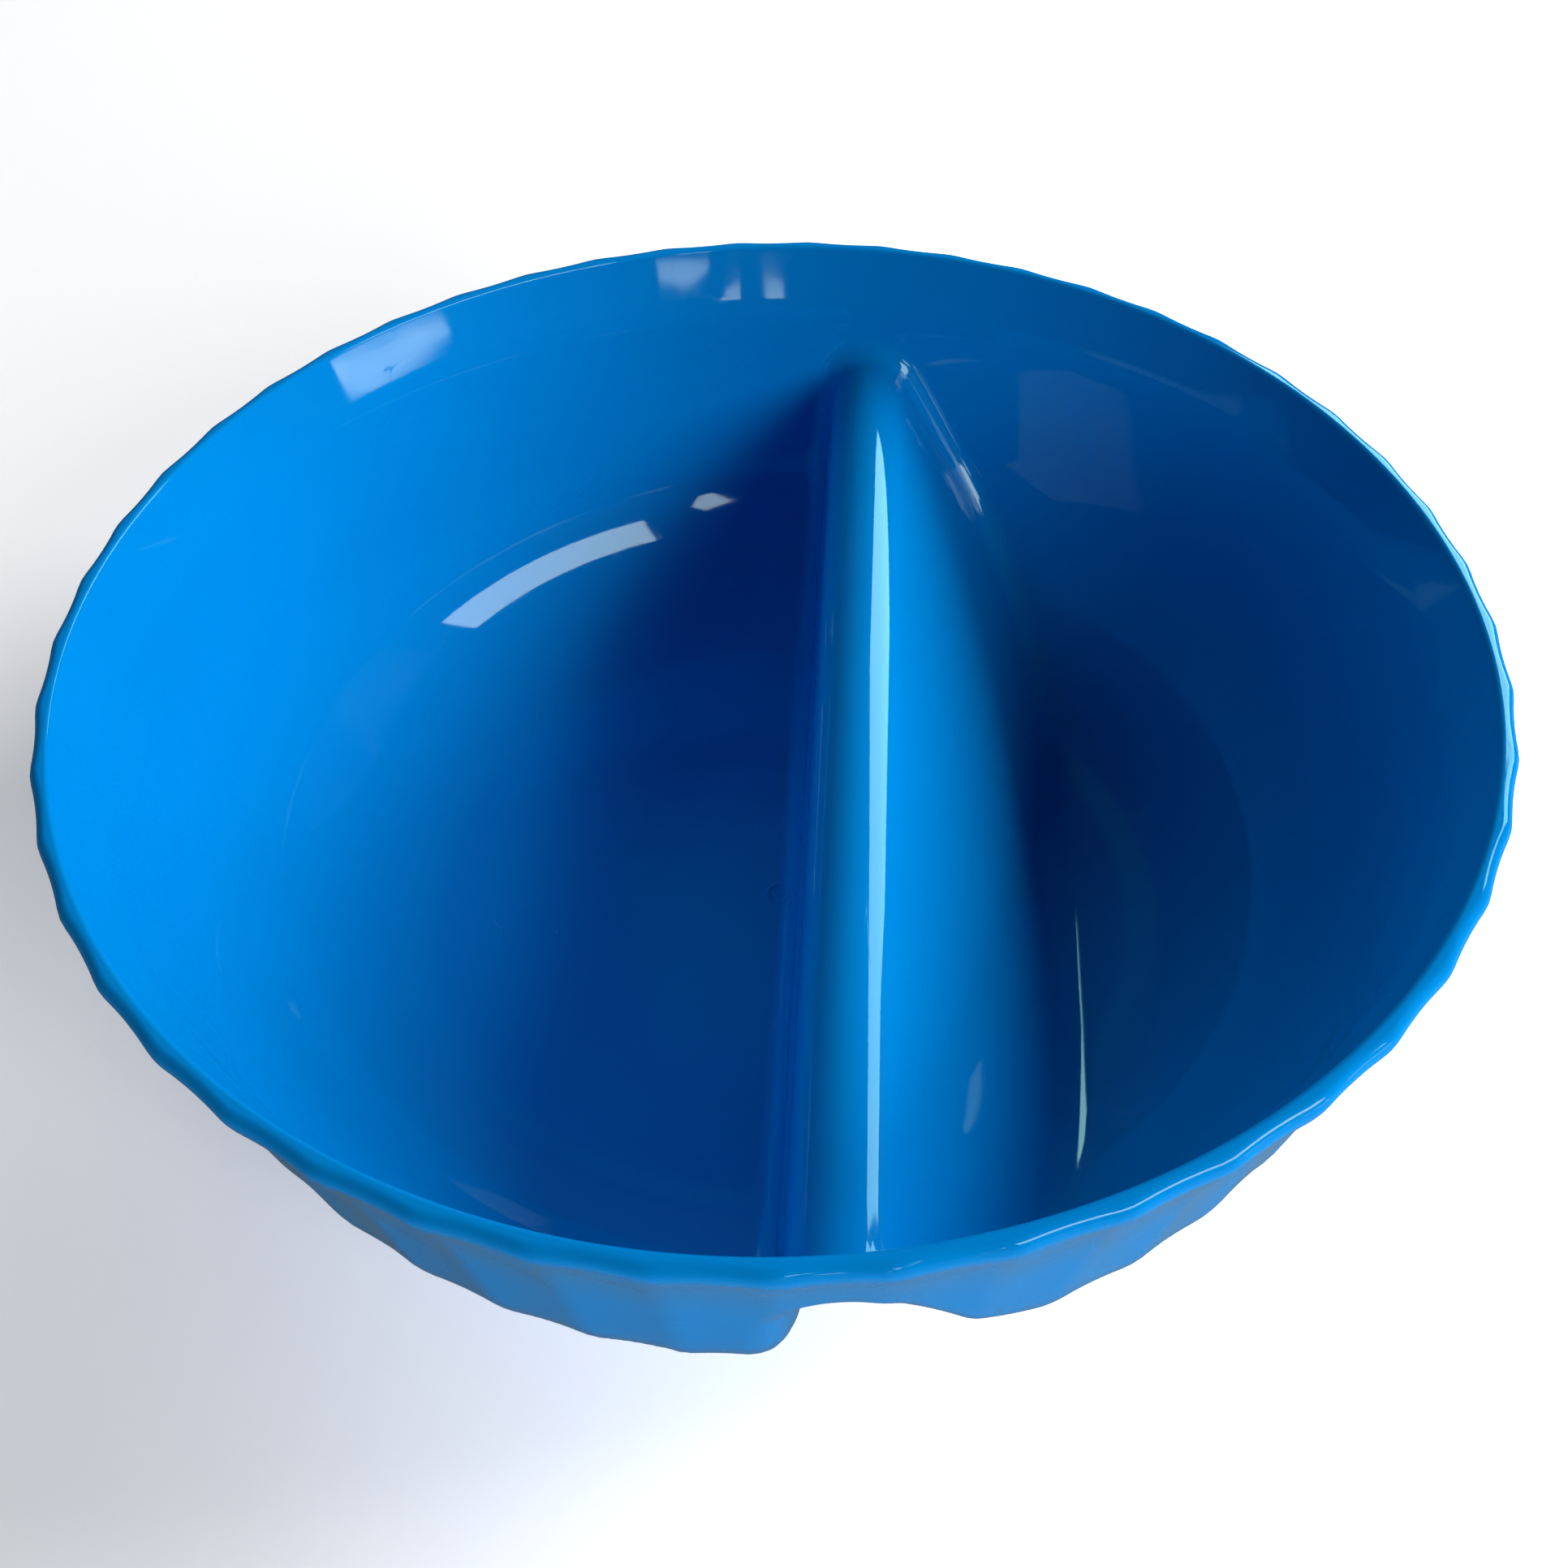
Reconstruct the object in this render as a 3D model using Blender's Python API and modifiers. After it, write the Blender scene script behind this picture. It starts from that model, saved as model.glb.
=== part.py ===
"""Round two-compartment bowl, moulded in one piece of glossy plastic.

The wall is smooth inside and faceted outside. A hollow fold of the same sheet rises from the
floor as the divider: its face towards -X is steep, its face towards +X is a ramp, and it is open
from below, with a mouth through the outer wall at each end. Metres, +Z up, base on Z = 0,
divider along Y.
"""

import math

import bmesh
import bpy

# Driving dimensions of the bowl
RIM_RADIUS = 0.0900  # to the corners between the outer facets
HEIGHT = 0.0580
WALL = 0.0027  # sheet thickness of wall, floor and fold
FACETS = 49
FACET_PHASE = math.radians(1.4)  # angle of the first facet corner from +X

# Lip
LIP_DROP = 0.0013  # from the lip's flat top down to the facet corners
LIP_TOP_OUTER = 0.0888
LIP_TOP_INNER = 0.0874
LIP_INNER_RADIUS = 0.0869
BAND_HEIGHT = 0.0081  # flared band under the lip
BAND_RADIUS = 0.0868  # outside, at the band's lower edge

# Wall and floor
WALL_DRAFT = math.radians(11.6)  # from vertical, under the band
BASE_CURVE = 0.0347  # outside radius of the turn from wall to floor

# Divider fold
CREST_DROP = 0.0149  # from the facet corners down to the top of the fold
CREST_RADIUS = 0.0065
CREST_X = 0.0114
STEEP_DRAFT = math.radians(3.8)
RAMP_SLOPE = math.radians(33.5)

# Mesh fineness
CURVE_STEPS = 14
INNER_SIDES = 98
CREST_STEPS = 12
OVERLAP = 0.004  # how far cutters run past what they cut

CORNER_Z = HEIGHT - LIP_DROP
PLASTIC_BLUE = (0.003, 0.165, 0.62, 1.0)


def clear_scene():
    for item in list(bpy.data.objects):
        bpy.data.objects.remove(item, do_unlink=True)


def new_collection(name):
    group = bpy.data.collections.new(name)
    bpy.context.scene.collection.children.link(group)
    return group


def base_curve(radius, centre):
    """Points of the turn from wall to floor, from the wall's end down to the floor's edge."""
    span = math.pi / 2 - WALL_DRAFT
    angles = [WALL_DRAFT + span * i / CURVE_STEPS for i in range(CURVE_STEPS + 1)]
    return [(centre[0] + radius * math.cos(a), centre[1] - radius * math.sin(a)) for a in angles]


def curve_centre():
    """Centre of the turn: its height is the radius, and the drafted wall line is its tangent."""
    z = BASE_CURVE
    start_z = z - BASE_CURVE * math.sin(WALL_DRAFT)
    drop = CORNER_Z - BAND_HEIGHT - start_z
    start_r = BAND_RADIUS - drop * math.tan(WALL_DRAFT)
    return (start_r - BASE_CURVE * math.cos(WALL_DRAFT), z)


def outer_profile():
    """Half section of the solid outside, from the axis over the lip and down to the base."""
    lip = [(0.0, HEIGHT), (LIP_TOP_OUTER, HEIGHT), (RIM_RADIUS, CORNER_Z)]
    band = [(BAND_RADIUS, CORNER_Z - BAND_HEIGHT)]
    return lip + band + base_curve(BASE_CURVE, curve_centre()) + [(0.0, 0.0)]


def inner_profile():
    """Half section of the hollow, from above the lip down to the floor."""
    band_inner = BAND_RADIUS - WALL / math.cos(WALL_DRAFT)
    above = [(0.0, HEIGHT + OVERLAP), (LIP_TOP_INNER, HEIGHT + OVERLAP), (LIP_TOP_INNER, HEIGHT)]
    lip = [(LIP_INNER_RADIUS, CORNER_Z)]
    band = [(band_inner, CORNER_Z - BAND_HEIGHT)]
    return above + lip + band + base_curve(BASE_CURVE - WALL, curve_centre()) + [(0.0, WALL)]


def turned(name, profile, sides, phase, group):
    """A solid of revolution about Z, made with a Screw modifier and applied."""
    mesh = bpy.data.meshes.new(name)
    verts = [(r, 0.0, z) for r, z in profile]
    edges = [(i, i + 1) for i in range(len(profile) - 1)]
    mesh.from_pydata(verts, edges, [])
    item = bpy.data.objects.new(name, mesh)
    group.objects.link(item)
    screw = item.modifiers.new("turn", "SCREW")
    screw.axis = "Z"
    screw.steps = sides
    screw.render_steps = sides
    screw.use_merge_vertices = True
    screw.merge_threshold = 0.00001
    item.rotation_euler = (0.0, 0.0, phase)
    return item


def fold_section(inset, bottom_z):
    """Outline of the divider in X and Z, moved inwards by inset, closed at bottom_z."""
    radius = CREST_RADIUS - inset
    centre_z = CORNER_Z - CREST_DROP - CREST_RADIUS
    start = math.pi - STEEP_DRAFT
    span = start - RAMP_SLOPE
    angles = [start - span * i / CREST_STEPS for i in range(CREST_STEPS + 1)]
    crest = [(CREST_X + radius * math.cos(a), centre_z + radius * math.sin(a)) for a in angles]
    steep_x = crest[0][0] - (crest[0][1] - bottom_z) * math.tan(STEEP_DRAFT)
    ramp_x = crest[-1][0] + (crest[-1][1] - bottom_z) * math.tan(RAMP_SLOPE)
    return [(steep_x, bottom_z)] + crest + [(ramp_x, bottom_z)]


def extruded(name, outline, half_length, group):
    """A flat outline in X and Z, extruded along Y both ways, as a welded mesh object."""
    curve = bpy.data.curves.new(name, "CURVE")
    curve.dimensions = "2D"
    curve.fill_mode = "BOTH"
    curve.extrude = half_length
    spline = curve.splines.new("POLY")
    spline.points.add(len(outline) - 1)
    for point, (x, z) in zip(spline.points, outline):
        point.co = (x, z, 0.0, 1.0)
    spline.use_cyclic_u = True
    drawn = bpy.data.objects.new(name + "_outline", curve)
    drawn.rotation_euler = (math.pi / 2, 0.0, 0.0)
    group.objects.link(drawn)
    bpy.context.view_layer.update()
    seen = drawn.evaluated_get(bpy.context.evaluated_depsgraph_get())
    mesh = bpy.data.meshes.new_from_object(seen)
    weld(mesh)
    item = bpy.data.objects.new(name, mesh)
    item.matrix_world = drawn.matrix_world
    group.objects.link(item)
    bpy.data.objects.remove(drawn, do_unlink=True)
    return item


def weld(mesh):
    work = bmesh.new()
    work.from_mesh(mesh)
    bmesh.ops.remove_doubles(work, verts=work.verts, dist=0.00001)
    bmesh.ops.recalc_face_normals(work, faces=work.faces)
    work.to_mesh(mesh)
    work.free()


def cut(item, cutter):
    step = item.modifiers.new("cut_" + cutter.name, "BOOLEAN")
    step.operation = "DIFFERENCE"
    step.solver = "EXACT"
    step.object = cutter


def as_guide(item):
    item.hide_render = True
    item.display_type = "WIRE"


def compartments(guides):
    """The two hollows that hold food: the bowl's round inside, less the divider fold."""
    inside = turned("inside", inner_profile(), INNER_SIDES, 0.0, guides)
    fold = extruded("fold", fold_section(0.0, WALL - OVERLAP), RIM_RADIUS + OVERLAP, guides)
    cut(inside, fold)
    as_guide(inside)
    as_guide(fold)
    return inside


def fold_hollow(guides):
    """The space under the divider, open at the base and through the wall at both ends."""
    section = fold_section(WALL, -OVERLAP)
    hollow = extruded("fold_hollow", section, RIM_RADIUS + 2 * OVERLAP, guides)
    as_guide(hollow)
    return hollow


def gloss_plastic(name, colour):
    material = bpy.data.materials.new(name)
    material.use_nodes = True
    shader = material.node_tree.nodes["Principled BSDF"]
    shader.inputs["Base Color"].default_value = colour
    shader.inputs["Roughness"].default_value = 0.12
    shader.inputs["Metallic"].default_value = 0.0
    return material


def divided_bowl(parts, guides):
    bowl = turned("divided_bowl", outer_profile(), FACETS, FACET_PHASE, parts)
    cut(bowl, compartments(guides))
    cut(bowl, fold_hollow(guides))
    bowl.data.materials.append(gloss_plastic("blue_plastic", PLASTIC_BLUE))
    return bowl


def main():
    clear_scene()
    parts = new_collection("divided_bowl_parts")
    guides = new_collection("cutters")
    divided_bowl(parts, guides)


main()
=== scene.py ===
import math

import bpy
import numpy as np
from mathutils import Euler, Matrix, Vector


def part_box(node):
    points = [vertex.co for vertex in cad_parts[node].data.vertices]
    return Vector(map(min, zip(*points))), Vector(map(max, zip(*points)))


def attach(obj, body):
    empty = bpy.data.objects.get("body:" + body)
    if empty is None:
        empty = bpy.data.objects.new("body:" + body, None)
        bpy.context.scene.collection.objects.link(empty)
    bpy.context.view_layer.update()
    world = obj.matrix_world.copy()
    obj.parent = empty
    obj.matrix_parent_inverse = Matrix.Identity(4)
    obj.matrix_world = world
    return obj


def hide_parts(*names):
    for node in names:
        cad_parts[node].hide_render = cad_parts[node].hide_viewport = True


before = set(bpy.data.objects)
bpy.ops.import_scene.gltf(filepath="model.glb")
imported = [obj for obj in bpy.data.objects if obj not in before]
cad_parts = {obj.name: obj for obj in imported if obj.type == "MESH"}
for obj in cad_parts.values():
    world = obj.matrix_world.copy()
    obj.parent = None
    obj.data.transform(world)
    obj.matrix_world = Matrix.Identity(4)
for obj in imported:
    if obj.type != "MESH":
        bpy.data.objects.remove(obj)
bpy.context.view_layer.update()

# The bowl is one glossy blue moulding. Its inner face bounds the open space above the floor and
# beside the divider; its outer face bounds the fluted wall and the hollow under the divider. Both
# are found along rays from a point above the bowl, and a rounded lip joins them.
# Metres, +Z up, divider along Y, steep face of the divider towards -X.

LOW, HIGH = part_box("divided_bowl")
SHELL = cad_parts["divided_bowl"].data.vertices

# Whole bowl
HEIGHT = HIGH[2] - LOW[2]
RIM_RADIUS = max(math.hypot(v.co.x, v.co.y) for v in SHELL)
WALL = 0.0027
FLUTES = 49
FLUTE_STEP = 2 * math.pi / FLUTES
FLUTE_PHASE = math.radians(1.4)
FLUTE_DEPTH = 0.0056  # share of the radius
FLUTE_SOFT = 0.24  # share of the half flute that eases its corner

# Lip
LIP_ROUND = 0.0013
CORNER_Z = HEIGHT - LIP_ROUND
LIP_INNER_RADIUS = 0.0871  # at the height of the flute corners
LIP_INNER_ROUND = 0.00075

# Wall, with a flared band under the lip, and the turn into the floor
BAND_Z = CORNER_Z - 0.0081
BAND_RADIUS = 0.0868
BAND_TOP_Z = CORNER_Z - 0.0006  # the flare reaches the full radius here
DRAFT = math.radians(11.6)
BASE_CURVE = 0.0347
BAND_SOFTNESS = 0.0022  # width that eases the start of the flare, outside
EDGE_SOFTNESS = 0.0004  # the same inside, and at the flare's top

# Divider
CREST_RADIUS = 0.0065
CREST_X = 0.0114
CREST_Z = CORNER_Z - 0.0149 - CREST_RADIUS
STEEP_DRAFT = math.radians(3.8)
RAMP_SLOPE = math.radians(33.5)
FOOT_ROUND = 0.0032
MOUTH_ROUND = FOOT_ROUND + WALL

# Gate mark in the middle of the floor
GATE_RING = 0.00165
GATE_RING_WIDTH = 0.00022
GATE_NIB_WIDTH = 0.00035
GATE_RISE = 0.00012
GATE_NIB_SHARE = 1.3  # height of the nib against the ring

# Plastic
PIGMENT = (0.0, 0.215, 0.60, 1.0)
PIGMENT_DEEP = (0.0, 0.202, 0.575, 1.0)
PLASTIC_IOR = 1.47
PLASTIC_SPECULAR = 0.32
GLOSS = 0.04  # roughness of clean plastic
SMEAR_ROUGHNESS = 0.045
MARK_ROUGHNESS = 0.25
STAND_ROUGHNESS = 0.16
STAND_TOP = 0.004  # the dulling of the standing face fades out here
PEEL_HEIGHT = 0.000009  # unevenness left by the mould
GRAIN_HEIGHT = 0.0000004
MARK_DEPTH = 0.0000012

# Colours of the light that the gloss reflects
WHITE = (1.0, 1.0, 1.0, 1.0)
DAYLIGHT = (0.74, 1.0, 0.96, 1.0)
SHADED_DAYLIGHT = (0.45, 1.0, 0.88, 1.0)
GARDEN_GREEN = (0.1, 1.0, 0.65, 1.0)

# Mesh
EYE = 2.07 * HEIGHT  # the rays start here on the axis
RAY_NEAR, RAY_FAR = 0.3, 1.1  # shares of a ray that hold the surface between them
HALVINGS = 44
PER_FLUTE = 8
COLUMNS = PER_FLUTE * FLUTES
LONGEST = 0.0045
SHORTEST = 0.00035
TURN = math.radians(9.0)
REFINEMENTS = 9
LIP_STEPS = 8

# Starting rings: columns to a flute, and plan radii
GATE_RINGS = (
    (1, (0.0002, 0.0004, 0.0007)),
    (2, (0.0011, 0.0014, GATE_RING, 0.0019, 0.0022, 0.0028)),
)
PLAIN_RINGS = ((1, (0.0015,)),)
FLOOR_RINGS = ((2, (0.0045, 0.0075, 0.0115, 0.0165)), (4, (0.022, 0.028, 0.034, 0.040)))
WALL_RINGS_START = 0.046
WALL_RINGS_STEP = 0.006
WALL_RINGS_GAP = 0.004  # left free before the lip

# Stage
TABLE_HALF = 3.0
TABLE_DROP = 0.0001  # of the table under the bowl, and of its mirror image under the table
TABLE_LEFT, TABLE_RIGHT = -0.10, 0.14  # between these the table's glow rises
TABLE_GLOW = (0.24, 1.3)  # on the left and on the right
TABLE_IMAGE_GLOW = (0.09, 0.26)
WALL_SIDES = 24
WALL_DISTANCE = 2.9
WALL_TOP = 3.5
WALL_GLOW = 0.85
STAGE_DISTANCE = 2.0  # of lamps and panes from the bowl
ROOM_GLOW = 0.02

# Name, azimuth, elevation, width in degrees, radiance
LAMPS = (
    ("key", 20, 26, 32, 12.4),
    ("fill", -48, 24, 24, 10.5),
    ("left_bounce", 165, 32, 54, 0.43),
    ("back_bounce", 92, 24, 36, 2.5),
)

# Windows that the gloss mirrors: corners as azimuth and elevation, with their radiance
BACK_WINDOW = (
    (29, 22), (38, 23), (40, 17), (50, 14), (58, 14), (64, 20), (77, 33), (74, 40),
    (62, 41.5), (38, 41.5), (35, 39),
)
BACK_RADIANCE = 11.0
DIM_WINDOW = ((103, 48), (102, 55.5), (84, 55.5), (84, 45))
DIM_RADIANCE = 0.2
FRONT_AZIMUTHS, FRONT_ELEVATIONS = (-58, -8), (31, 44)
FRONT_STEPS = 6
FRONT_RADIANCE = 13.0
LOW_PANES = (
    ("small_window", 11.0, ((-69, 29), (-72, 32), (-78, 28), (-74, 22), (-71, 23))),
    ("low_pane_left", 12.0, ((-10.8, 4.5), (-11.4, 3.2), (-16, 3.7), (-23.6, 5.2), (-31.6, 7.2),
                             (-30.4, 7.5), (-24, 6.7))),
    ("low_pane_mid", 8.0, ((-67.8, 10.3), (-72, 10.1), (-74.4, 10.5), (-75.8, 10.8),
                           (-76.7, 11.2), (-67.8, 10.95))),
    ("low_pane_right", 8.0, ((-78, 7), (-78, 7.7), (-79.1, 10.2), (-81.5, 10.5), (-81.5, 7))),
    ("low_pane_end", 8.0, ((-86, 7), (-85.8, 10.7), (-89, 10.4), (-89, 7))),
)

# Black card in the reflections: its offset from the crest, and its outline in Y and Z
CARD_OFFSET = 0.004
CARD = (
    (0.046, 0.042), (0.235, 0.042), (0.235, 0.224), (0.20, 0.216), (0.10, 0.134),
    (0.046, 0.086),
)

# Camera
CAMERA_PLACE = (0.01173, -0.16370, 0.20403)
CAMERA_TURN = (42.768, 0.678, 2.999)
CAMERA_LENS = 40.12
CAMERA_SENSOR = 36.0
CAMERA_NEAR = 0.01


def soft_max(a, b, width):
    """The larger of two, eased where they differ by less than width."""
    near = np.maximum(width - np.abs(a - b), 0.0) / width
    return np.maximum(a, b) + near * near * width / 4


def soft_min(a, b, width):
    return -soft_max(-a, -b, width)


def rounded(a, b, radius):
    """Depth inside two faces at once, their shared edge rounded to radius."""
    near = (a < radius) & (b < radius)
    corner = radius - np.hypot(radius - a, radius - b)
    return np.where(near, corner, np.minimum(a, b))


def turn_centre():
    """Radius and height of the centre that the wall turns round into the floor."""
    drop = BAND_Z - BASE_CURVE * (1 - math.sin(DRAFT))
    start = BAND_RADIUS - drop * math.tan(DRAFT)
    return start - BASE_CURVE * math.cos(DRAFT), BASE_CURVE


def bowl_depth(r, z, inset):
    """Depth inside the bowl's round profile, moved in by inset, towards the axis."""
    centre_r, centre_z = turn_centre()
    radius = BASE_CURVE - inset
    across, up = r - centre_r, z - centre_z
    wall = radius - (across * math.cos(DRAFT) - up * math.sin(DRAFT))
    if inset > 0:
        foot = BAND_RADIUS - inset / math.cos(DRAFT)
        lean = math.atan((LIP_INNER_RADIUS - foot) / (CORNER_Z - BAND_Z))
    else:
        foot = BAND_RADIUS
        lean = math.atan((RIM_RADIUS - foot) / (BAND_TOP_Z - BAND_Z))
    band = (foot + (z - BAND_Z) * math.tan(lean) - r) * math.cos(lean)
    side = soft_max(wall, band, EDGE_SOFTNESS if inset > 0 else BAND_SOFTNESS)
    if inset == 0:
        side = soft_min(side, RIM_RADIUS - r, EDGE_SOFTNESS)
    below = (across * math.sin(DRAFT) + up * math.cos(DRAFT)) < 0
    turned = radius - np.hypot(across, up)
    depth = np.where(below, turned, side)
    return np.where(across < 0, up + radius, depth)


def divider_distance(x, z, inset):
    """Distance outside the divider's section, moved in by inset."""
    radius = CREST_RADIUS - inset
    across, up = x - CREST_X, z - CREST_Z
    steep = -across * math.cos(STEEP_DRAFT) + up * math.sin(STEEP_DRAFT) - radius
    ramp = across * math.cos(RAMP_SLOPE) + up * math.sin(RAMP_SLOPE) - radius
    down_steep = -across * math.sin(STEEP_DRAFT) - up * math.cos(STEEP_DRAFT)
    down_ramp = across * math.sin(RAMP_SLOPE) - up * math.cos(RAMP_SLOPE)
    over = (down_steep <= 0) & (down_ramp <= 0)
    return np.where(over, np.hypot(across, up) - radius, np.maximum(steep, ramp))


def gate_height(r):
    ring = np.exp(-((r - GATE_RING) / GATE_RING_WIDTH) ** 2)
    nib = np.exp(-((r / GATE_NIB_WIDTH) ** 2))
    return GATE_RISE * (ring + GATE_NIB_SHARE * nib)


def inside(points):
    """Depth of points in the open space above the floor and beside the divider."""
    x, y, z = points.T
    r = np.hypot(x, y)
    floor = bowl_depth(r, z - gate_height(r), WALL)
    return rounded(floor, divider_distance(x, z, 0.0), FOOT_ROUND)


def flute_share(across):
    """Share of the radius left by a flute, least in its middle, and its growth across."""
    place = 2 * np.abs(across)
    over = np.maximum(place - 1 + FLUTE_SOFT, 0.0)
    hollow = 1 - place * place + over * over / FLUTE_SOFT
    growth = 4 * np.sign(across) * (place - over / FLUTE_SOFT)
    return 1 - FLUTE_DEPTH * hollow, FLUTE_DEPTH * growth


def outside(points):
    """Depth of points inside the bowl's outer face, above the hollow under the divider."""
    x, y, z = points.T
    across = (np.arctan2(y, x) - FLUTE_PHASE) / FLUTE_STEP
    share = flute_share(across - np.floor(across) - 0.5)[0]
    depth = bowl_depth(np.hypot(x, y) / share, z, 0.0)
    return rounded(depth, divider_distance(x, z, WALL), MOUTH_ROUND)


def on_ray(plan, share):
    """Points at a share of the way from the eye to the plan point on the ground."""
    return np.column_stack([plan * share[:, None], EYE * (1 - share)])


def land(plan, depth):
    """Where each ray from the eye through a plan point leaves the given depth's inside."""
    near = np.full(len(plan), RAY_NEAR)
    far = np.full(len(plan), RAY_FAR)
    for _ in range(HALVINGS):
        middle = (near + far) / 2
        deep = depth(on_ray(plan, middle)) > 0
        near = np.where(deep, middle, near)
        far = np.where(deep, far, middle)
    return on_ray(plan, (near + far) / 2)


def slope(points, depth):
    """Unit direction in which depth grows fastest."""
    step = 1e-6
    grown = [depth(points + axis) - depth(points - axis) for axis in np.eye(3) * step]
    grown = np.column_stack(grown)
    return grown / np.linalg.norm(grown, axis=1)[:, None]


def plan_of(points):
    """Plan points on the ground of the rays that pass through the points."""
    return points[:, :2] / (1 - points[:, 2] / EYE)[:, None]


def ring_points(count, radius):
    angles = FLUTE_PHASE + 2 * math.pi * np.arange(count) / count
    return np.column_stack([radius * np.cos(angles), radius * np.sin(angles)])


def web(rings):
    """Plan points and triangles of rings round the axis; a ring has the same or half the columns
    of the next one out."""
    plan = [np.zeros((1, 2))] + rings
    starts = np.cumsum([0] + [len(part) for part in plan])
    first = len(rings[0])
    faces = [(0, 1 + i, 1 + (i + 1) % first) for i in range(first)]
    for k in range(len(rings) - 1):
        inner, outer = starts[k + 1], starts[k + 2]
        few, many = len(rings[k]), len(rings[k + 1])
        ratio = many // few
        for i in range(few):
            a, b = inner + i, inner + (i + 1) % few
            around = [outer + (ratio * i + j) % many for j in range(ratio + 1)]
            middle = ratio // 2 if ratio > 1 else 1
            faces += [(a, around[j], around[j + 1]) for j in range(middle)]
            faces.append((a, around[middle], b))
            faces += [(b, around[j], around[j + 1]) for j in range(middle, ratio)]
    return np.vstack(plan), np.array(faces)


def edges_of(faces):
    """The edges, and the three of each triangle."""
    sides = np.sort(np.vstack([faces[:, [0, 1]], faces[:, [1, 2]], faces[:, [2, 0]]]), axis=1)
    edges, where = np.unique(sides, axis=0, return_inverse=True)
    return edges, where.reshape(3, -1).T


def refine(plan, faces, depth):
    """Splits edges until each is short and the surface turns little along it."""
    points = land(plan, depth)
    for _ in range(REFINEMENTS):
        edges, sides = edges_of(faces)
        start, end = points[edges[:, 0]], points[edges[:, 1]]
        length = np.linalg.norm(end - start, axis=1)
        turned = (slope(start, depth) * slope(end, depth)).sum(axis=1)
        turn = np.arccos(np.clip(turned, -1, 1))
        split = (length > LONGEST) | ((turn > TURN) & (length > SHORTEST))
        split &= np.bincount(sides.ravel(), minlength=len(edges)) == 2
        if not split.any():
            break
        middle = np.full(len(edges), -1)
        middle[split] = len(plan) + np.arange(split.sum())
        added = plan[edges[split]].mean(axis=1)
        plan = np.vstack([plan, added])
        points = np.vstack([points, land(added, depth)])
        faces = divided(faces, middle[sides], points)
    return points, faces


def divided(faces, middles, points):
    """Triangles after their marked edges are halved; middles holds -1 for an edge left whole."""
    marked = (middles >= 0).sum(axis=1)
    made = [faces[marked == 0]]
    for turn in range(3):
        order = [turn, (turn + 1) % 3, (turn + 2) % 3]
        a, b, c = faces[:, order].T
        ab, bc, ca = middles[:, order].T
        one = (marked == 1) & (ab >= 0)
        made += [np.column_stack(t)[one] for t in ((a, ab, c), (ab, b, c))]
        two = (marked == 2) & (ca < 0)
        made.append(np.column_stack((ab, b, bc))[two])
        span = np.linalg.norm(points[a] - points[bc], axis=1)
        other = np.linalg.norm(points[ab] - points[c], axis=1)
        low = two & (span <= other)
        high = two & (span > other)
        made += [np.column_stack(t)[low] for t in ((a, ab, bc), (a, bc, c))]
        made += [np.column_stack(t)[high] for t in ((a, ab, c), (ab, bc, c))]
    a, b, c = faces.T
    ab, bc, ca = middles.T
    quarters = ((a, ab, ca), (ab, b, bc), (ca, bc, c), (ab, bc, ca))
    made += [np.column_stack(t)[marked == 3] for t in quarters]
    return np.vstack(made)


def ring_sizes(edge_plan, gate):
    """Column counts and plan radii of the starting rings, from the axis out to the edge."""
    parts = (GATE_RINGS if gate else PLAIN_RINGS) + FLOOR_RINGS
    rings = [(columns * FLUTES, radius) for columns, radii in parts for radius in radii]
    radius = WALL_RINGS_START
    while radius < edge_plan - WALL_RINGS_GAP:
        rings.append((COLUMNS, radius))
        radius += WALL_RINGS_STEP
    return rings


def sheet(depth, edge_points, gate):
    """One face of the moulding, from the axis out to the given ring at the lip, with the number
    of its first point on that ring."""
    edge = plan_of(edge_points)
    nearest = np.linalg.norm(edge, axis=1).min()
    rings = [ring_points(count, radius) for count, radius in ring_sizes(nearest, gate)]
    plan, faces = web(rings + [edge])
    points, faces = refine(plan, faces, depth)
    start = sum(len(ring) for ring in rings) + 1
    points[start : start + len(edge)] = edge_points
    return points, faces, start


def lip_columns():
    """Angle of each column, and the share of the radius there with its growth across the flute."""
    angles = FLUTE_PHASE + 2 * math.pi * np.arange(COLUMNS) / COLUMNS
    across = (np.arange(COLUMNS) % PER_FLUTE) / PER_FLUTE - 0.5
    return angles, *flute_share(across)


def ring_at(angles, r, z):
    """A ring of points or directions, a column for each angle."""
    r = np.broadcast_to(r, angles.shape)
    z = np.broadcast_to(z, angles.shape)
    return np.column_stack([r * np.cos(angles), r * np.sin(angles), z])


def lip_rings():
    """Rings over the lip from the outer wall to the inner wall: their points and the lip's
    direction at each."""
    angles, share, growth = lip_columns()
    outer = RIM_RADIUS * share
    facing = angles - np.arctan(growth / FLUTE_STEP)
    rings = []
    for rise in np.linspace(0, math.pi / 2, LIP_STEPS):
        r = outer - LIP_ROUND * (1 - math.cos(rise))
        points = ring_at(angles, r, CORNER_Z + LIP_ROUND * math.sin(rise))
        rings.append((points, ring_at(facing, math.cos(rise), math.sin(rise))))
    foot = BAND_RADIUS - WALL / math.cos(DRAFT)
    lean = math.atan((LIP_INNER_RADIUS - foot) / (CORNER_Z - BAND_Z))
    round_z = HEIGHT - LIP_INNER_ROUND
    last_z = round_z + LIP_INNER_ROUND * math.sin(lean)
    last_r = LIP_INNER_RADIUS + (last_z - CORNER_Z) * math.tan(lean)
    round_r = last_r + LIP_INNER_ROUND * math.cos(lean)
    for rise in np.linspace(math.pi / 2, math.pi - lean, LIP_STEPS):
        r = round_r + LIP_INNER_ROUND * math.cos(rise)
        points = ring_at(angles, r, round_z + LIP_INNER_ROUND * math.sin(rise))
        rings.append((points, ring_at(angles, math.cos(rise), math.sin(rise))))
    return rings


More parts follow.
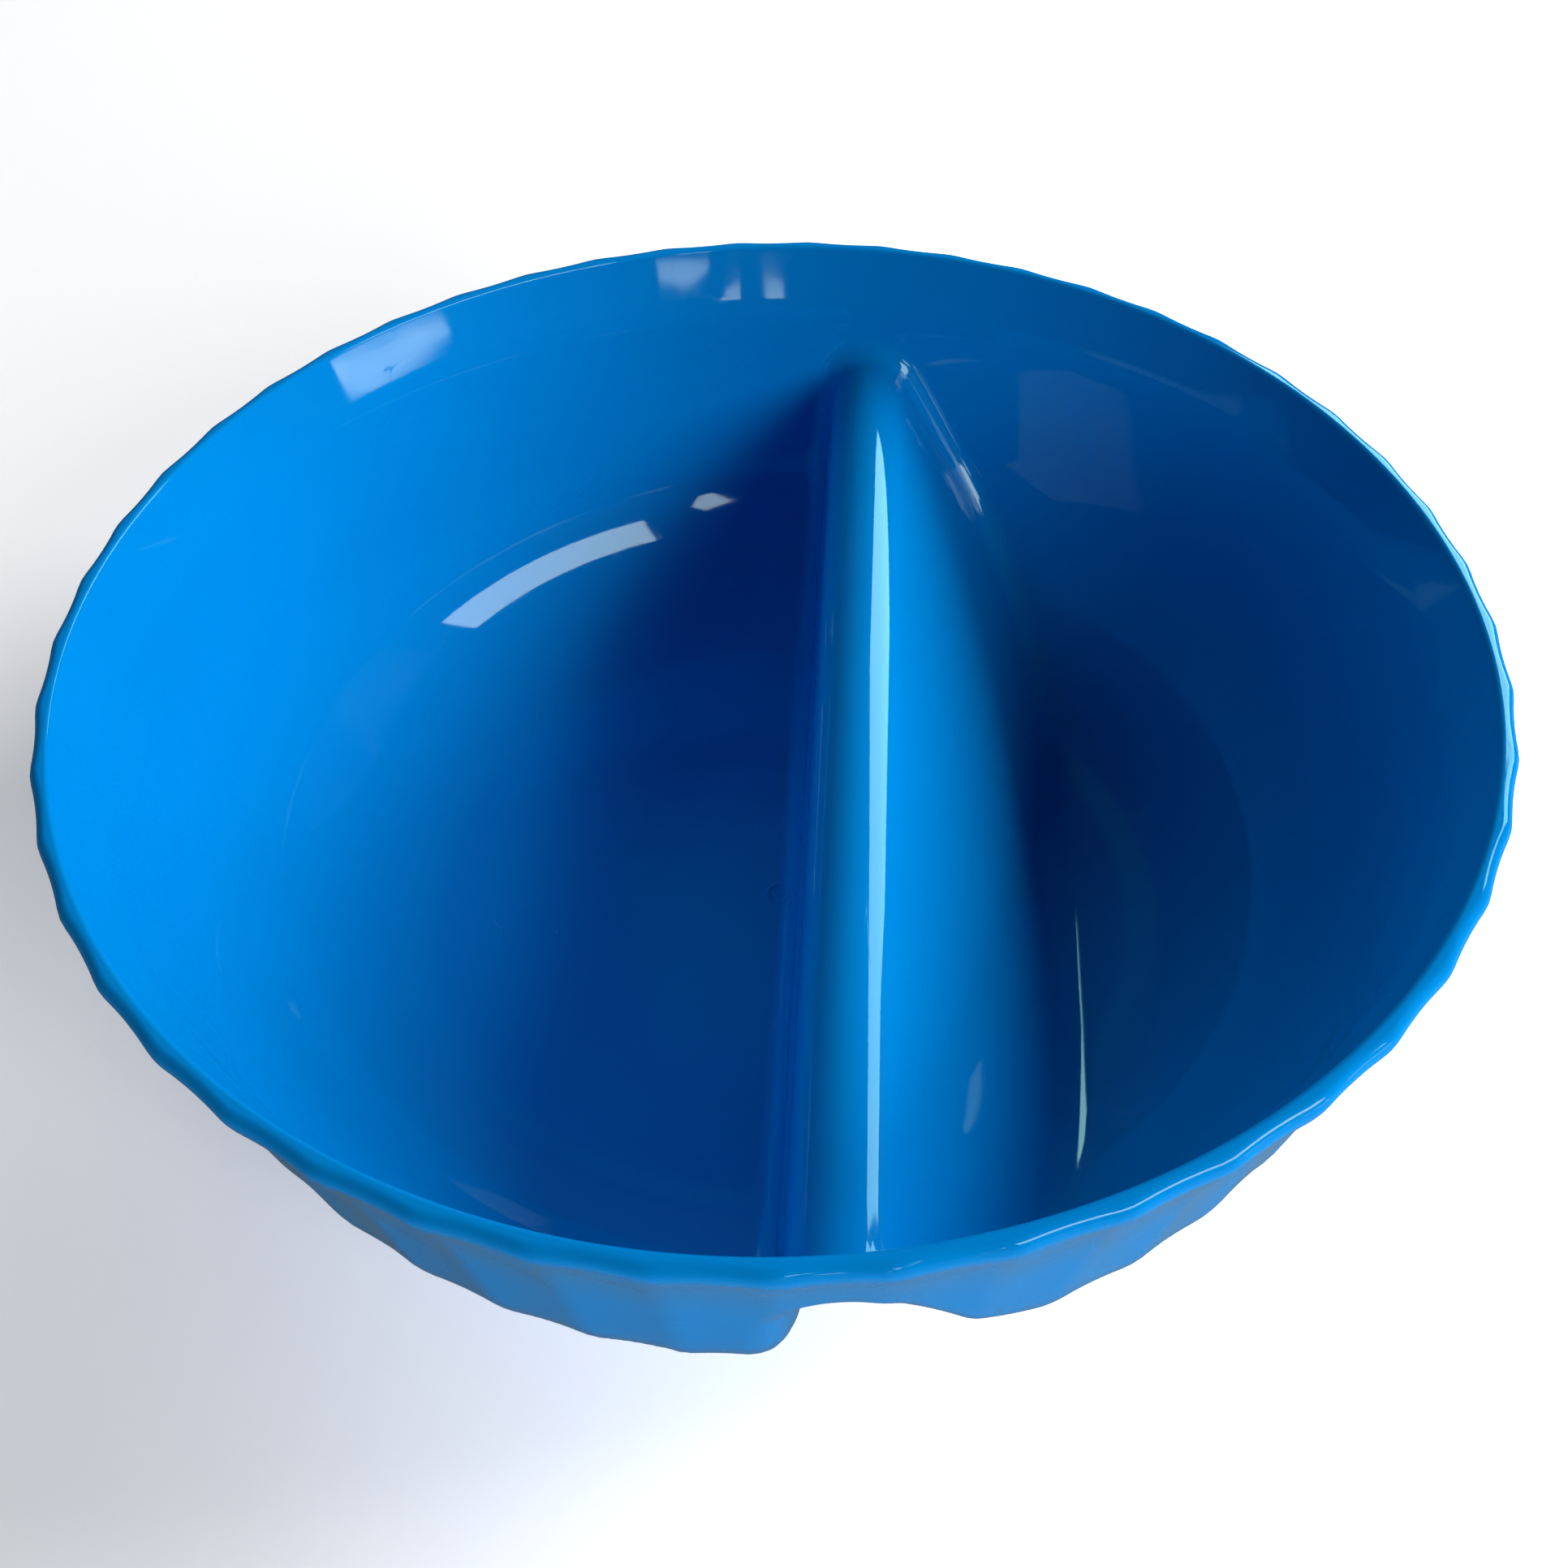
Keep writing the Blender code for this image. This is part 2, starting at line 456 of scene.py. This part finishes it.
def moulding():
    """Points and triangles of the whole bowl, with a surface direction for each corner."""
    rings = lip_rings()
    outer_edge, inner_edge = rings[0][0], rings[-1][0]
    under, under_faces, under_start = sheet(outside, outer_edge, False)
    over, over_faces, over_start = sheet(inside, inner_edge, True)
    under_faces = under_faces[:, ::-1]
    faces = [under_faces, over_faces + len(under)]
    normals = [-slope(under, outside)[under_faces], slope(over, inside)[over_faces]]
    points = [under, over] + [ring for ring, _ in rings[1:-1]]
    here = np.arange(COLUMNS)
    first = len(under) + len(over)
    between = [first + k * COLUMNS + here for k in range(len(rings) - 2)]
    ids = [under_start + here] + between + [len(under) + over_start + here]
    for k in range(len(rings) - 1):
        a, b = ids[k], np.roll(ids[k], -1)
        d, c = ids[k + 1], np.roll(ids[k + 1], -1)
        na, nd = rings[k][1], rings[k + 1][1]
        nb, nc = np.roll(na, -1, axis=0), np.roll(nd, -1, axis=0)
        faces += [np.column_stack([a, b, c]), np.column_stack([a, c, d])]
        normals += [np.stack([na, nb, nc], axis=1), np.stack([na, nc, nd], axis=1)]
    return np.vstack(points), np.vstack(faces), np.vstack(normals)


def build_bowl(material):
    points, faces, normals = moulding()
    mesh = bpy.data.meshes.new("bowl")
    mesh.from_pydata(points.tolist(), [], faces.tolist())
    mesh.polygons.foreach_set("use_smooth", [True] * len(faces))
    mesh.normals_split_custom_set([tuple(n) for n in normals.reshape(-1, 3)])
    mesh.materials.append(material)
    bowl = bpy.data.objects.new("bowl", mesh)
    bpy.context.scene.collection.objects.link(bowl)
    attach(bowl, "root")
    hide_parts("divided_bowl")


def gloss_plastic():
    """Blue moulded plastic: a mirror gloss with faint unevenness of the mould, faint smears and
    sparse hairline scratches, duller where it stands."""
    material = bpy.data.materials.new("blue_plastic")
    material.use_nodes = True
    nodes, links = material.node_tree.nodes, material.node_tree.links
    shader = nodes["Principled BSDF"]
    shader.inputs["IOR"].default_value = PLASTIC_IOR
    shader.inputs["Specular IOR Level"].default_value = PLASTIC_SPECULAR
    place = nodes.new("ShaderNodeTexCoord").outputs["Object"]

    def noise(scale, detail=3.0, roughness=0.5, source=place):
        node = nodes.new("ShaderNodeTexNoise")
        node.inputs["Scale"].default_value = scale
        node.inputs["Detail"].default_value = detail
        node.inputs["Roughness"].default_value = roughness
        links.new(source, node.inputs["Vector"])
        return node.outputs["Fac"]

    def ranged(value, low, high, to_low, to_high):
        node = nodes.new("ShaderNodeMapRange")
        node.inputs["From Min"].default_value = low
        node.inputs["From Max"].default_value = high
        node.inputs["To Min"].default_value = to_low
        node.inputs["To Max"].default_value = to_high
        links.new(value, node.inputs["Value"])
        return node.outputs["Result"]

    def maths(operation, first, second):
        node = nodes.new("ShaderNodeMath")
        node.operation = operation
        for socket, value in zip(node.inputs, (first, second)):
            if isinstance(value, float):
                socket.default_value = value
            else:
                links.new(value, socket)
        return node.outputs[0]

    def scratches(turn, scale, width):
        """Sparse hairlines: the thin level line of a noise that is drawn out one way."""
        stretch = nodes.new("ShaderNodeMapping")
        stretch.inputs["Rotation"].default_value = turn
        stretch.inputs["Scale"].default_value = (1.0, 0.06, 1.0)
        links.new(place, stretch.inputs["Vector"])
        lines = noise(scale, 1.0, 0.4, stretch.outputs["Vector"])
        off = maths("ABSOLUTE", maths("SUBTRACT", lines, 0.5), 0.0)
        sparse = ranged(noise(scale * 0.4), 0.52, 0.66, 0.0, 1.0)
        return maths("MULTIPLY", ranged(off, 0.0, width, 1.0, 0.0), sparse)

    pigment = nodes.new("ShaderNodeMix")
    pigment.data_type = "RGBA"
    pigment.inputs["A"].default_value = PIGMENT_DEEP
    pigment.inputs["B"].default_value = PIGMENT
    links.new(ranged(noise(28.0, 4.0), 0.3, 0.7, 0.0, 1.0), pigment.inputs["Factor"])
    links.new(pigment.outputs["Result"], shader.inputs["Base Color"])

    one_way = scratches((0.3, 0.2, 0.5), 260.0, 0.006)
    other_way = scratches((1.1, 0.7, 2.1), 330.0, 0.005)
    marks = maths("MAXIMUM", one_way, other_way)
    parts = nodes.new("ShaderNodeSeparateXYZ")
    links.new(place, parts.inputs[0])
    worn_base = ranged(parts.outputs["Z"], 0.0, STAND_TOP, STAND_ROUGHNESS, 0.0)
    smears = ranged(noise(55.0, 5.0, 0.6), 0.5, 0.75, 0.0, SMEAR_ROUGHNESS)
    marked = maths("MULTIPLY", marks, MARK_ROUGHNESS)
    rough = maths("ADD", maths("ADD", smears, GLOSS), marked)
    links.new(maths("ADD", rough, worn_base), shader.inputs["Roughness"])

    peel = maths("MULTIPLY", noise(120.0, 2.0), PEEL_HEIGHT)
    fine = maths("MULTIPLY", noise(900.0, 2.0), GRAIN_HEIGHT)
    dug = maths("MULTIPLY", marks, -MARK_DEPTH)
    bump = nodes.new("ShaderNodeBump")
    bump.inputs["Distance"].default_value = 1.0
    bump.inputs["Strength"].default_value = 1.0
    links.new(maths("ADD", maths("ADD", peel, fine), dug), bump.inputs["Height"])
    links.new(bump.outputs["Normal"], shader.inputs["Normal"])
    return material


def rightwards(nodes, links, glow):
    """A strength that rises across the table from the bowl's left to its right."""
    place = nodes.new("ShaderNodeSeparateXYZ")
    links.new(nodes.new("ShaderNodeTexCoord").outputs["Object"], place.inputs[0])
    rise = nodes.new("ShaderNodeMapRange")
    rise.interpolation_type = "SMOOTHSTEP"
    rise.inputs["From Min"].default_value = TABLE_LEFT
    rise.inputs["From Max"].default_value = TABLE_RIGHT
    rise.inputs["To Min"].default_value = glow[0]
    rise.inputs["To Max"].default_value = glow[1]
    links.new(place.outputs["X"], rise.inputs["Value"])
    return rise.outputs["Result"]


def way_to(azimuth, elevation):
    turn, rise = math.radians(azimuth), math.radians(elevation)
    flat = math.cos(rise)
    return Vector((math.cos(turn) * flat, math.sin(turn) * flat, math.sin(rise)))


def place_on_stage(azimuth, elevation):
    return way_to(azimuth, elevation) * STAGE_DISTANCE + Vector((0, 0, HEIGHT))


def faced(name, places, sides, material):
    mesh = bpy.data.meshes.new(name)
    mesh.from_pydata(places, [], sides)
    mesh.materials.append(material)
    item = bpy.data.objects.new(name, mesh)
    bpy.context.scene.collection.objects.link(item)
    return item


def table_corners(z):
    half = TABLE_HALF
    return [(-half, -half, z), (half, -half, z), (half, half, z), (-half, half, z)]


def pale_glowing_floor():
    material = bpy.data.materials.new("floor")
    material.use_nodes = True
    nodes, links = material.node_tree.nodes, material.node_tree.links
    shader = nodes["Principled BSDF"]
    shader.inputs["Base Color"].default_value = (0.88, 0.88, 0.89, 1.0)
    shader.inputs["Roughness"].default_value = 0.8
    shader.inputs["Emission Color"].default_value = WHITE
    # The table glows, more and more towards the bowl's right. This is painted light: it lifts the
    # bowl's shadow on the table and lights the plastic's outer face from below.
    links.new(rightwards(nodes, links, TABLE_GLOW), shader.inputs["Emission Strength"])
    floor = faced("floor", table_corners(0.0), [(0, 1, 2, 3)], material)
    floor.location.z = LOW[2] - TABLE_DROP
    floor.visible_glossy = False


def glowing(name, radiance, tint=WHITE):
    material = bpy.data.materials.new(name)
    material.use_nodes = True
    nodes, links = material.node_tree.nodes, material.node_tree.links
    nodes.clear()
    glow = nodes.new("ShaderNodeEmission")
    glow.inputs["Color"].default_value = tint
    glow.inputs["Strength"].default_value = radiance
    links.new(glow.outputs[0], nodes.new("ShaderNodeOutputMaterial").inputs["Surface"])
    material.cycles.emission_sampling = "NONE"
    return material


def backdrop():
    """A pale wall round the table, seen behind the bowl in low views and nowhere else."""
    count = WALL_SIDES
    ways = [way_to(i * 360 / count, 0) * WALL_DISTANCE for i in range(count)]
    places = [(*way[:2], z) for z in (LOW[2], WALL_TOP) for way in ways]
    sides = [(i, (i + 1) % count, count + (i + 1) % count, count + i) for i in range(count)]
    wall = faced("backdrop", places, sides, glowing("backdrop", WALL_GLOW))
    wall.visible_diffuse = False
    wall.visible_glossy = False
    wall.visible_shadow = False


def soft_lamp(name, azimuth, elevation, spread, radiance):
    """A broad soft lamp that fills a square of spread degrees as seen from the bowl. It gives the
    plastic its light and shade and leaves no sharp reflection."""
    side = 2 * STAGE_DISTANCE * math.tan(math.radians(spread / 2))
    lamp = bpy.data.lights.new(name, "AREA")
    lamp.shape = "RECTANGLE"
    lamp.size, lamp.size_y = side, side
    lamp.energy = radiance * math.pi * side * side
    item = bpy.data.objects.new(name, lamp)
    item.location = place_on_stage(azimuth, elevation)
    item.rotation_mode = "QUATERNION"
    item.rotation_quaternion = (-way_to(azimuth, elevation)).to_track_quat("-Z", "Y")
    item.visible_glossy = False
    bpy.context.scene.collection.objects.link(item)


def mirrored(name, places, material):
    """A flat stage piece that only reflections see."""
    item = faced(name, places, [tuple(range(len(places)))], material)
    item.visible_camera = False
    item.visible_diffuse = False
    item.visible_shadow = False


def pane(name, corners, radiance, tint=DAYLIGHT):
    """A bright window pane; its corners are azimuths and elevations."""
    places = [place_on_stage(*corner) for corner in corners]
    mirrored(name, places, glowing(name, radiance, tint))


def front_window():
    """Panes side by side that follow the curve between two azimuths and two elevations."""
    spans = np.linspace(*FRONT_AZIMUTHS, FRONT_STEPS + 1)
    low, high = FRONT_ELEVATIONS
    for i, (left, right) in enumerate(zip(spans, spans[1:])):
        corners = [(left, low), (right, low), (right, high), (left, high)]
        pane(f"front_window_{i}", corners, FRONT_RADIANCE)


def flag():
    """A black card over the divider: it keeps the back window's mirror image off the curve of the
    large compartment and leaves it on the crest and the lip."""
    places = [(CREST_X - CARD_OFFSET, along, up) for along, up in CARD]
    mirrored("flag", places, glowing("black_card", 0.0))


def table_image():
    """How bright the table looks in the plastic's gloss."""
    material = glowing("table_image", 1.0, DAYLIGHT)
    nodes, links = material.node_tree.nodes, material.node_tree.links
    strength = nodes["Emission"].inputs["Strength"]
    links.new(rightwards(nodes, links, TABLE_IMAGE_GLOW), strength)
    mirrored("table_image", table_corners(LOW[2] - 2 * TABLE_DROP), material)


def lights():
    world = bpy.data.worlds.new("room")
    bpy.context.scene.world = world
    world.use_nodes = True
    back = world.node_tree.nodes["Background"]
    back.inputs["Color"].default_value = (0.9, 0.95, 1.0, 1.0)
    back.inputs["Strength"].default_value = ROOM_GLOW
    for lamp in LAMPS:
        soft_lamp(*lamp)
    pane("back_window", BACK_WINDOW, BACK_RADIANCE, SHADED_DAYLIGHT)
    pane("dim_window", DIM_WINDOW, DIM_RADIANCE, GARDEN_GREEN)
    front_window()
    for name, radiance, corners in LOW_PANES:
        pane(name, corners, radiance)
    flag()
    table_image()


def camera():
    data = bpy.data.cameras.new("camera")
    data.sensor_width = CAMERA_SENSOR
    data.lens = CAMERA_LENS
    data.clip_start = CAMERA_NEAR
    item = bpy.data.objects.new("camera", data)
    item.location = CAMERA_PLACE
    item.rotation_euler = Euler([math.radians(angle) for angle in CAMERA_TURN])
    bpy.context.scene.collection.objects.link(item)
    bpy.context.scene.camera = item


def main():
    bpy.context.scene.view_settings.view_transform = "Standard"
    build_bowl(gloss_plastic())
    pale_glowing_floor()
    backdrop()
    lights()
    camera()


main()
